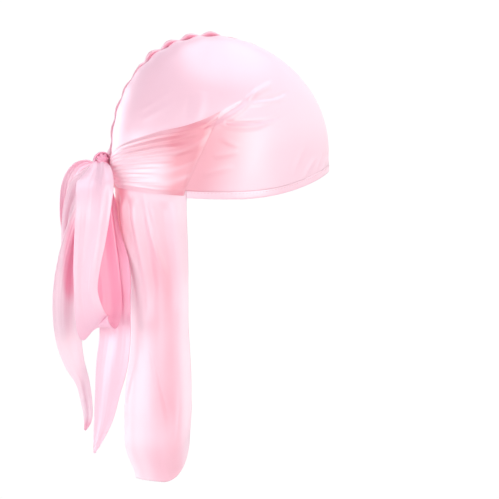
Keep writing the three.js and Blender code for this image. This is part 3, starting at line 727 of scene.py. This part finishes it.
# Sections from the knot round and back to it: drop, aside and back are shares of the loop's drop,
# reach and swing, skew is in degrees, tilt leans the cloth's breadth and fold deepens its folds.
LOOP_ROWS = {
    RIGHT: table("drop aside back width skew tilt fold", [
        (0.0, 0.08, 0.2, 0.24, 0, 0.0, 0.3),
        (0.02, 0.3, 0.28, 0.56, 0, 0.3, 0.8),
        (0.07, 0.62, 0.46, 0.96, -2, 0.45, 1.0),
        (0.15, 0.88, 0.67, 1.16, -5, 0.3, 0.9),
        (0.3, 1.0, 0.8, 1.1, -6, 0.0, 0.8),
        (0.46, 1.0, 0.95, 0.99, -4, 0.0, 0.8),
        (0.63, 1.0, 1.12, 0.82, 0, 0.0, 0.8),
        (0.78, 0.98, 1.16, 0.74, 0, 0.1, 0.6),
        (0.92, 0.92, 0.94, 0.92, 0, 0.3, 0.4),
        (1.0, 0.76, 0.6, 1.14, 0, 0.5, 0.4),
        (0.95, 0.62, 0.18, 1.04, 0, 0.45, 0.4),
        (0.82, 0.56, 0.02, 1.0, 0, 0.2, 0.5),
        (0.64, 0.54, 0.13, 0.98, 0, 0.0, 0.6),
        (0.42, 0.5, 0.27, 0.88, 0, 0.0, 0.7),
        (0.24, 0.42, 0.29, 0.72, 0, 0.0, 0.8),
        (0.12, 0.3, 0.17, 0.54, 0, 0.0, 0.7),
        (0.05, 0.2, 0.08, 0.34, 0, 0.0, 0.5),
        (0.02, 0.08, 0.2, 0.22, 0, 0.0, 0.3),
    ]),
    LEFT: table("drop aside back width skew tilt fold", [
        (0.02, 0.08, 0.2, 0.24, 0, -0.4, 0.3),
        (0.02, 0.24, 0.6, 0.44, 0, -0.9, 0.8),
        (0.06, 0.5, 1.02, 0.66, 0, -1.0, 1.0),
        (0.15, 0.74, 1.24, 0.84, 4, -0.8, 0.9),
        (0.3, 0.92, 1.22, 0.92, 4, -0.3, 0.8),
        (0.46, 1.0, 1.08, 0.92, 0, 0.0, 0.7),
        (0.64, 1.0, 1.02, 0.9, 0, 0.0, 0.6),
        (0.82, 0.96, 0.98, 0.9, 0, 0.0, 0.4),
        (0.93, 0.84, 0.98, 0.88, 0, 0.1, 0.4),
        (0.91, 0.68, 1.02, 0.86, 0, 0.1, 0.6),
        (0.78, 0.62, 1.5, 0.46, 0, 0.0, 0.7),
        (0.62, 0.6, 1.68, 0.34, 0, 0.0, 0.7),
        (0.46, 0.6, 1.66, 0.4, 0, 0.0, 0.7),
        (0.3, 0.56, 1.46, 0.56, 0, 0.0, 0.7),
        (0.17, 0.46, 1.02, 0.76, 0, -0.4, 0.8),
        (0.08, 0.3, 0.6, 0.54, 0, -0.6, 0.7),
        (0.04, 0.18, 0.4, 0.34, 0, -0.3, 0.5),
        (0.02, 0.08, 0.24, 0.22, 0, 0.0, 0.3),
    ]),
}


def strip_shape(rows, drop, aside, width, side, seed):
    """shape(u, v) of a flattened tie along a table of sections, with lengthwise folds."""
    def middle(row):
        return Vector((
            KNOT_MIDDLE.x - row["back"] * BOW_SWING,
            side * row["aside"] * aside,
            KNOT_MIDDLE.z - row["drop"] * drop,
        ))

    @lru_cache(maxsize=None)
    def section(u):
        row = between(rows, u)
        step = 0.004
        run = (middle(between(rows, u + step)) - middle(between(rows, u - step))).normalized()
        skew = math.radians(row["skew"])
        over = Vector((math.cos(skew), side * math.sin(skew), row.get("tilt", 0)))
        over = (over - run * over.dot(run)).normalized()
        return row, middle(row), over, over.cross(run).normalized()

    def shape(u, v):
        row, place, over, out = section(u)
        across = v - 0.5
        folds = FOLD_WAVE * math.cos(3 * math.pi * across + 2.0 * u + seed)
        folds += FOLD_SLOW * ripple((across * 5, u * 2.2, seed), 1.0)
        folds += FOLD_FINE * ripple((across * 16, u * 5, seed), 1.0)
        return place + over * across * row["width"] * width + out * BOW_FOLD * row["fold"] * folds

    return shape


def bow_loop(side, seed):
    shape = strip_shape(LOOP_ROWS[side], LOOP_DROP, LOOP_REACH, LOOP_WIDTH, side, seed)

    def painted_shading_and_mottle(u, v):
        """Painted shade deep inside the loop. The left one has painted light over its arch and on
        its way back, and a streak of painted shade between.
        """
        if side == RIGHT:
            return ease(u, 0.52, 0.66) - 0.15 * (1 - ease(u, 0.4, 0.5))
        arch = 0.5 * ease(u, 0.08, 0.16) * (1 - ease(u, 0.16, 0.3))
        streak = ease(u, 0.24, 0.35) * (1 - ease(u, 0.43, 0.5))
        return 0.1 - arch + streak - 0.7 * ease(u, 0.5, 0.6)

    word = SIDE_WORD[side]
    loop = cloth_sheet(f"loop_{word}", shape, 320, 50, LOOP_CUT, painted_shading_and_mottle=painted_shading_and_mottle)
    if side == LEFT:
        loop.data.flip_normals()
    finish_piece(loop, f"bow_loop_{word}", BOW_SATIN, REVERSE_SATIN_SHADED)


bow_loop(RIGHT, 0.4)
bow_loop(LEFT, 2.1)


# Free ends
# Below the knot each tie opens out into a single layer that is cut off on a slant and hangs to a
# point. The right one hangs forward under the head, the left one swings out behind.
END_DROP = {RIGHT: 271 * MM, LEFT: 252 * MM}
END_WIDTH, END_ASIDE = 30 * MM, 15 * MM
END_CUT = (0.28, 0.021)
END_ROWS = {
    RIGHT: table("drop aside back width skew fold", [
        (0.014, 0.1, 0.02, 0.2, 0, 0.3),
        (0.06, 0.327, 0.12, 0.46, 6, 0.8),
        (0.14, 0.728, -0.02, 0.7, 17, 1.0),
        (0.24, 1.04, -0.15, 0.78, 25, 1.0),
        (0.36, 1.3, -0.5, 0.98, 31, 1.0),
        (0.48, 1.27, -0.52, 1.0, 30, 1.0),
        (0.6, 1.24, -0.5, 1.02, 28, 0.9),
        (0.7, 1.156, -0.34, 1.0, 22, 0.5),
        (0.79, 1.025, -0.14, 0.8, 16, 0.35),
        (0.88, 0.927, 0.06, 0.6, 13, 0.25),
        (0.95, 0.86, 0.32, 0.32, 10, 0.3),
        (1, 0.84, 0.54, 0.06, 10, 0.0),
    ]),
    LEFT: table("drop aside back width skew fold", [
        (0.014, 0.1, 0.06, 0.2, 0, 0.3),
        (0.07, 0.28, 0.5, 0.32, 0, 0.8),
        (0.16, 0.5, 0.95, 0.46, 0, 1.0),
        (0.28, 0.68, 1.4, 0.66, 0, 1.0),
        (0.42, 0.78, 1.72, 0.84, 0, 0.8),
        (0.54, 0.82, 1.8, 0.9, 0, 0.6),
        (0.65, 0.84, 1.72, 0.82, 0, 0.45),
        (0.74, 0.84, 1.44, 0.66, 0, 0.4),
        (0.82, 0.84, 0.98, 0.44, 0, 0.35),
        (0.9, 0.84, 0.76, 0.34, 0, 0.5),
        (0.96, 0.84, 0.7, 0.24, 0, 0.3),
        (1.0, 0.84, 0.86, 0.06, 0, 0.0),
    ]),
}


def free_end(side, seed):
    shape = strip_shape(END_ROWS[side], END_DROP[side], END_ASIDE, END_WIDTH, side, seed)

    def painted_shading_and_mottle(u, v):
        """Painted shade deep in the hollow above. The left one has a streak of painted shade
        inside, painted light over the rest, and is deeper on its tip.
        """
        if side == RIGHT:
            return 0.75 * ease(v, 0.3, 0.55) * (1 - ease(u, 0.42, 0.56)) - 0.1
        inside = ease(v, 2 * u - 0.52, 2 * u - 0.3)
        inside *= ease(u, 0.19, 0.28) * (1 - ease(u, 0.38, 0.46))
        return 1.1 * inside - 0.7 + 0.8 * ease(u, 0.88, 0.96)

    word = SIDE_WORD[side]
    end = cloth_sheet(f"end_{word}", shape, 280, 44, END_CUT, painted_shading_and_mottle=painted_shading_and_mottle)
    if side == LEFT:
        end.data.flip_normals()
    finish_piece(end, f"tie_end_{word}", BOW_SATIN, REVERSE_SATIN_SHADED)


free_end(RIGHT, 1.3)
free_end(LEFT, 3.7)


# Cape
# The cape goes on from the crown at the nape. The ties gather it, and below them its folds open
# out as it hangs round the neck, open to the front, with rounded lower corners.
CAPE_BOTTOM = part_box("cape")[0][2]
CAPE_WIDTH, CAPE_TUCK, CAPE_DEPTH = 112 * MM, 20.5 * MM, 44 * MM
CAPE_TURN = math.radians(113)
CAPE_CORNER, CAPE_CURL, CAPE_NIP = 46 * MM, 10 * MM, 0.8 * MM
# The share of each half of the lower edge that the rounding of its front corner takes up.
CAPE_CORNER_SHARE = 0.42
CAPE_BILLOW, CAPE_FLARE = 6 * MM, 3 * MM
CAPE_GATHER, CAPE_FOLD, CAPE_UNEVEN = 3.6 * MM, 2.6 * MM, 1.2 * MM
CAPE_CUT = (0.165, 0.27)
# The cape's fold pink is the deeper pink of painted shade. Its reverse is matte, and its deeper
# pink is painted shade, for the shade inside the cape.
CAPE_SATIN = satin("cape_satin", (0.97, 0.63, 0.715), fold=(0.93, 0.27, 0.36), roughness=0.42,
                   gloss=0.7)
CAPE_REVERSE_SHADED = satin("cape_reverse_shaded", (0.97, 0.48, 0.62), roughness=0.45, weave=0.1, with_painted_shading=False)
# Soft creases of the hanging cloth: both ends as shares from the cape's front edge and from its
# top, then width, rise and bow in mm.
CAPE_CREASES = charted([
    ((0.27, 0.54), (0.16, 0.80), 2.2, 1.0, 1.5),
    ((0.24, 0.58), (0.13, 0.84), 3.0, -0.8, 1.5),
    ((0.39, 0.60), (0.47, 0.74), 2.4, 0.9, -2.0),
    ((0.07, 0.66), (0.10, 0.90), 2.2, 0.8, 1.0),
    ((0.22, 0.02), (0.13, 0.32), 2.2, 1.1, -2.0),
    ((0.20, 0.02), (0.11, 0.28), 2.4, -0.9, -2.0),
    ((0.36, 0.04), (0.33, 0.26), 2.4, 0.8, 1.0),
], *CAPE_CUT)


def cape():
    def shape(u, v):
        turn = mix(CAPE_TURN, 2 * math.pi - CAPE_TURN, u)
        side = RIGHT if turn < math.pi else LEFT
        near_turn = min(turn, 2 * math.pi - turn)
        top = rim_height(turn) + HEM_HEIGHT - CLEARANCE
        edge = clamp((abs(2 * u - 1) - 1 + CAPE_CORNER_SHARE) / CAPE_CORNER_SHARE)
        height = mix(top, CAPE_BOTTOM + CAPE_CORNER * (1 - math.sqrt(1 - edge * edge)), v)
        on_rim = on_head(near_turn, climb_to(clamp(height, rim_height(turn), top)), 0, side)
        on_rim.z = height
        sweep = math.pi * (u - 0.5)
        behind = math.cos(sweep) ** 2
        low = Vector((
            -(HEAD_LENGTH / 2 + CLOTH + CLEARANCE) + CAPE_TUCK + CAPE_DEPTH * (1 - math.cos(sweep)),
            CAPE_WIDTH / 2 * math.sin(sweep),
            height,
        ))
        point = on_rim.lerp(low, ease(v, 0.06 * behind, mix(0.36, 0.44, behind)))
        point.x += CAPE_FLARE * ease(v, 0.5, 0.8) * (1 - behind)

        # The ties' gathers, which run out into fewer and wider folds, and the soft creases
        inward = min(u, 1 - u)
        gathers = CAPE_GATHER * ease(v, 0.03, 0.08) * mix(1, 0.15, ease(v, 0.12, 0.5))
        folds = CAPE_FOLD * ease(v, 0.2, 0.7) * mix(1, 0.12, ease(inward, 0.2, 0.42))
        phase = u - 0.5 + 0.012 * ripple((u * 6, v * 1.5, 0), 1.0)
        wave = gathers * math.cos(18 * math.pi * phase) + folds * math.cos(6 * math.pi * phase)
        wave += CAPE_UNEVEN * ripple((u * 9, v * 1.6, 4), 1.0) * ease(v, 0.05, 0.3)
        chart = Vector((inward * CAPE_CUT[0], v * CAPE_CUT[1]))
        wave += 2 * sum(ridge(chart, *crease) for crease in CAPE_CREASES)

        nip = CAPE_NIP * ease(v, 0, 0.015) * (1 - ease(v, 0.05, 0.12))
        curl = CAPE_CURL * ease(v, 0.84, 1) ** 2
        billow = CAPE_BILLOW * ease(v, 0.5, 0.78) * behind
        outward = Vector((-math.cos(sweep), math.sin(sweep), 0))
        return point + outward * (wave / 2 + billow - curl - nip + CLOTH / 2)

    def painted_shading_and_mottle(u, v):
        """Painted shade deep behind under the ties and in a band down each side, painted light
        paler between and in front, and a little random mottle.
        """
        inward = min(u, 1 - u)
        behind = 1.1 * ease(inward, 0.3, 0.45) * (1 - ease(v, 0.1, 0.38))
        pale = 0.42 * ease(inward, 0.24, 0.36) + 0.4 * ease(inward, 0.38, 0.46)
        band = 0.46 * ease(inward, 0.04, 0.12) * (1 - ease(inward, 0.2, 0.31))
        band *= ease(v, 0.12, 0.35) * (1 - 0.5 * ease(v, 0.72, 0.88))
        edge = 0.35 * (1 - ease(inward, 0.03, 0.08))
        uneven = 0.06 * ripple((u * 14, v * 9, 2), 1.0)
        return behind + band - edge - pale * ease(v, 0.1, 0.3) + uneven

    drape = cloth_sheet("cape_satin_sheet", shape, 200, 180, CAPE_CUT, painted_shading_and_mottle=painted_shading_and_mottle)
    finish_piece(drape, "cape", CAPE_SATIN, CAPE_REVERSE_SHADED)


cape()


# Studio
# A wide pale floor well below the hanging durag, white all round, five broad soft lights (above,
# at the side, behind and two that fill in), and a long lens on the wearer's right, a little behind.
FLOOR_HEIGHT, FLOOR_RADIUS = -0.42, 12
SEEN_WHITE = {"Color": (1, 1, 1, 1), "Strength": 1.02}


def seen_white(nodes, links, shader, emitter):
    """What the camera sees straight is plain white, whatever the light on it."""
    white = add_node(nodes, emitter, SEEN_WHITE)
    path = nodes.new("ShaderNodeLightPath")
    choose = nodes.new("ShaderNodeMixShader")
    links.new(path.outputs["Is Camera Ray"], choose.inputs["Fac"])
    links.new(shader, choose.inputs[1])
    links.new(white.outputs[0], choose.inputs[2])
    return choose.outputs[0]


def stage_floor():
    ground = bmesh.new()
    bmesh.ops.create_circle(ground, cap_ends=True, segments=96, radius=FLOOR_RADIUS)
    bmesh.ops.translate(ground, verts=ground.verts, vec=(0, 0, FLOOR_HEIGHT))
    mesh = bpy.data.meshes.new("floor")
    ground.to_mesh(mesh)
    ground.free()
    floor = bpy.data.objects.new("floor", mesh)
    bpy.context.collection.objects.link(floor)
    paper = bpy.data.materials.new("pale_paper")
    paper.use_nodes = True
    nodes, links = paper.node_tree.nodes, paper.node_tree.links
    surface = nodes["Principled BSDF"]
    set_inputs(surface, {"Base Color": (0.85, 0.85, 0.85, 1), "Roughness": 0.9})
    seen = seen_white(nodes, links, surface.outputs[0], "ShaderNodeEmission")
    links.new(seen, nodes["Material Output"].inputs["Surface"])
    mesh.materials.append(paper)


WARM, COOL = (1, 0.97, 0.94), (1, 0.96, 1.04)
# From the floor's side to the ceiling's: place in the ramp, level and hue.
ROOM_STOPS = [(0.0, 1.18, WARM), (0.5, 1.18, WARM), (0.66, 1.15, COOL), (0.74, 0.28, COOL),
              (1.0, 0.28, COOL)]
ROOM_LEAN = (-0.4, 0, 0.92)


def white_room():
    """Pale walls and a greyer ceiling, which leans down behind the durag."""
    world = bpy.data.worlds.new("white_room")
    world.use_nodes = True
    bpy.context.scene.world = world
    nodes, links = world.node_tree.nodes, world.node_tree.links
    background = nodes["Background"]
    place = nodes.new("ShaderNodeTexCoord")
    leaning = add_node(nodes, "ShaderNodeVectorMath", {1: ROOM_LEAN}, operation="DOT_PRODUCT")
    scale = add_node(nodes, "ShaderNodeMapRange", {"From Min": -1, "From Max": 1})
    ramp = nodes.new("ShaderNodeValToRGB")
    stops = ramp.color_ramp.elements
    for number, (at, level, hue) in enumerate(ROOM_STOPS):
        stop = stops[number] if number < 2 else stops.new(at)
        stop.position = at
        stop.color = (*(level * part for part in hue), 1)
    links.new(place.outputs["Generated"], leaning.inputs[0])
    links.new(leaning.outputs["Value"], scale.inputs["Value"])
    links.new(scale.outputs[0], ramp.inputs["Fac"])
    links.new(ramp.outputs["Color"], background.inputs["Color"])
    seen = seen_white(nodes, links, background.outputs[0], "ShaderNodeBackground")
    links.new(seen, nodes["World Output"].inputs["Surface"])


# Each light's name, place, what it is aimed at, size in metres, radiance and colour. Radiance is
# how bright its face looks, against 1 for white.
LIGHTS = [
    ("top_light", (0.22, 0, 1.37), (0, 0, 0.05), (2.8, 1.5), 1.55, (1, 0.97, 1.03)),
    ("side_light", (1.1, -2.6, 0.1), (0, 0, 0), (0.9, 1.9), 3.6, (1, 0.96, 0.9)),
    ("back_light", (-2.3, -0.3, -0.3), (0, 0, -0.1), (3.2, 1.6), 3.2, (1, 0.97, 1)),
    ("fill_light", (-1.5, -2.0, -0.6), (-0.1, 0, -0.1), (2.3, 1.2), 2.0, (1, 0.97, 0.98)),
    ("rim_light", (-1.4, 2.0, 0), (-0.1, 0, -0.1), (1.6, 2.2), 2.0, (1, 0.97, 1)),
]


def soft_light(name, place, aim, size, radiance, colour):
    """A flat oval light that the camera doesn't see."""
    data = bpy.data.lights.new(name, "AREA")
    data.shape = "ELLIPSE"
    data.size, data.size_y = size
    data.energy = radiance * math.pi * size[0] * size[1] * math.pi / 4
    data.color = colour
    lamp = bpy.data.objects.new(name, data)
    lamp.location = place
    lamp.rotation_euler = (Vector(aim) - Vector(place)).to_track_quat("-Z", "Y").to_euler()
    lamp.visible_camera = False
    bpy.context.collection.objects.link(lamp)


# The photo's scale, and where in it the frame's origin, the middle of the head, lies.
PHOTO_SIZE, METRES_PER_PIXEL = 499, 0.94 * MM
HEAD_ORIGIN_PX = (220, 198)
CAMERA_AZIMUTH, CAMERA_ELEVATION = math.radians(-10), math.radians(2)
CAMERA_DISTANCE = 2.6


def camera():
    data = bpy.data.cameras.new("camera")
    data.lens = data.sensor_width * CAMERA_DISTANCE / (PHOTO_SIZE * METRES_PER_PIXEL)
    data.clip_end = 60
    across = Vector((math.cos(CAMERA_AZIMUTH), math.sin(CAMERA_AZIMUTH), 0))
    back = Vector((
        math.sin(CAMERA_AZIMUTH) * math.cos(CAMERA_ELEVATION),
        -math.cos(CAMERA_AZIMUTH) * math.cos(CAMERA_ELEVATION),
        math.sin(CAMERA_ELEVATION),
    ))
    right, down = ((PHOTO_SIZE / 2 - pixel) * METRES_PER_PIXEL for pixel in HEAD_ORIGIN_PX)
    aim = across * right - back.cross(across) * down
    eye = bpy.data.objects.new("camera", data)
    eye.location = aim + back * CAMERA_DISTANCE
    eye.rotation_euler = (-back).to_track_quat("-Z", "Y").to_euler()
    bpy.context.collection.objects.link(eye)
    bpy.context.scene.camera = eye


stage_floor()
white_room()
for light in LIGHTS:
    soft_light(*light)
camera()
bpy.context.scene.view_settings.view_transform = "Standard"
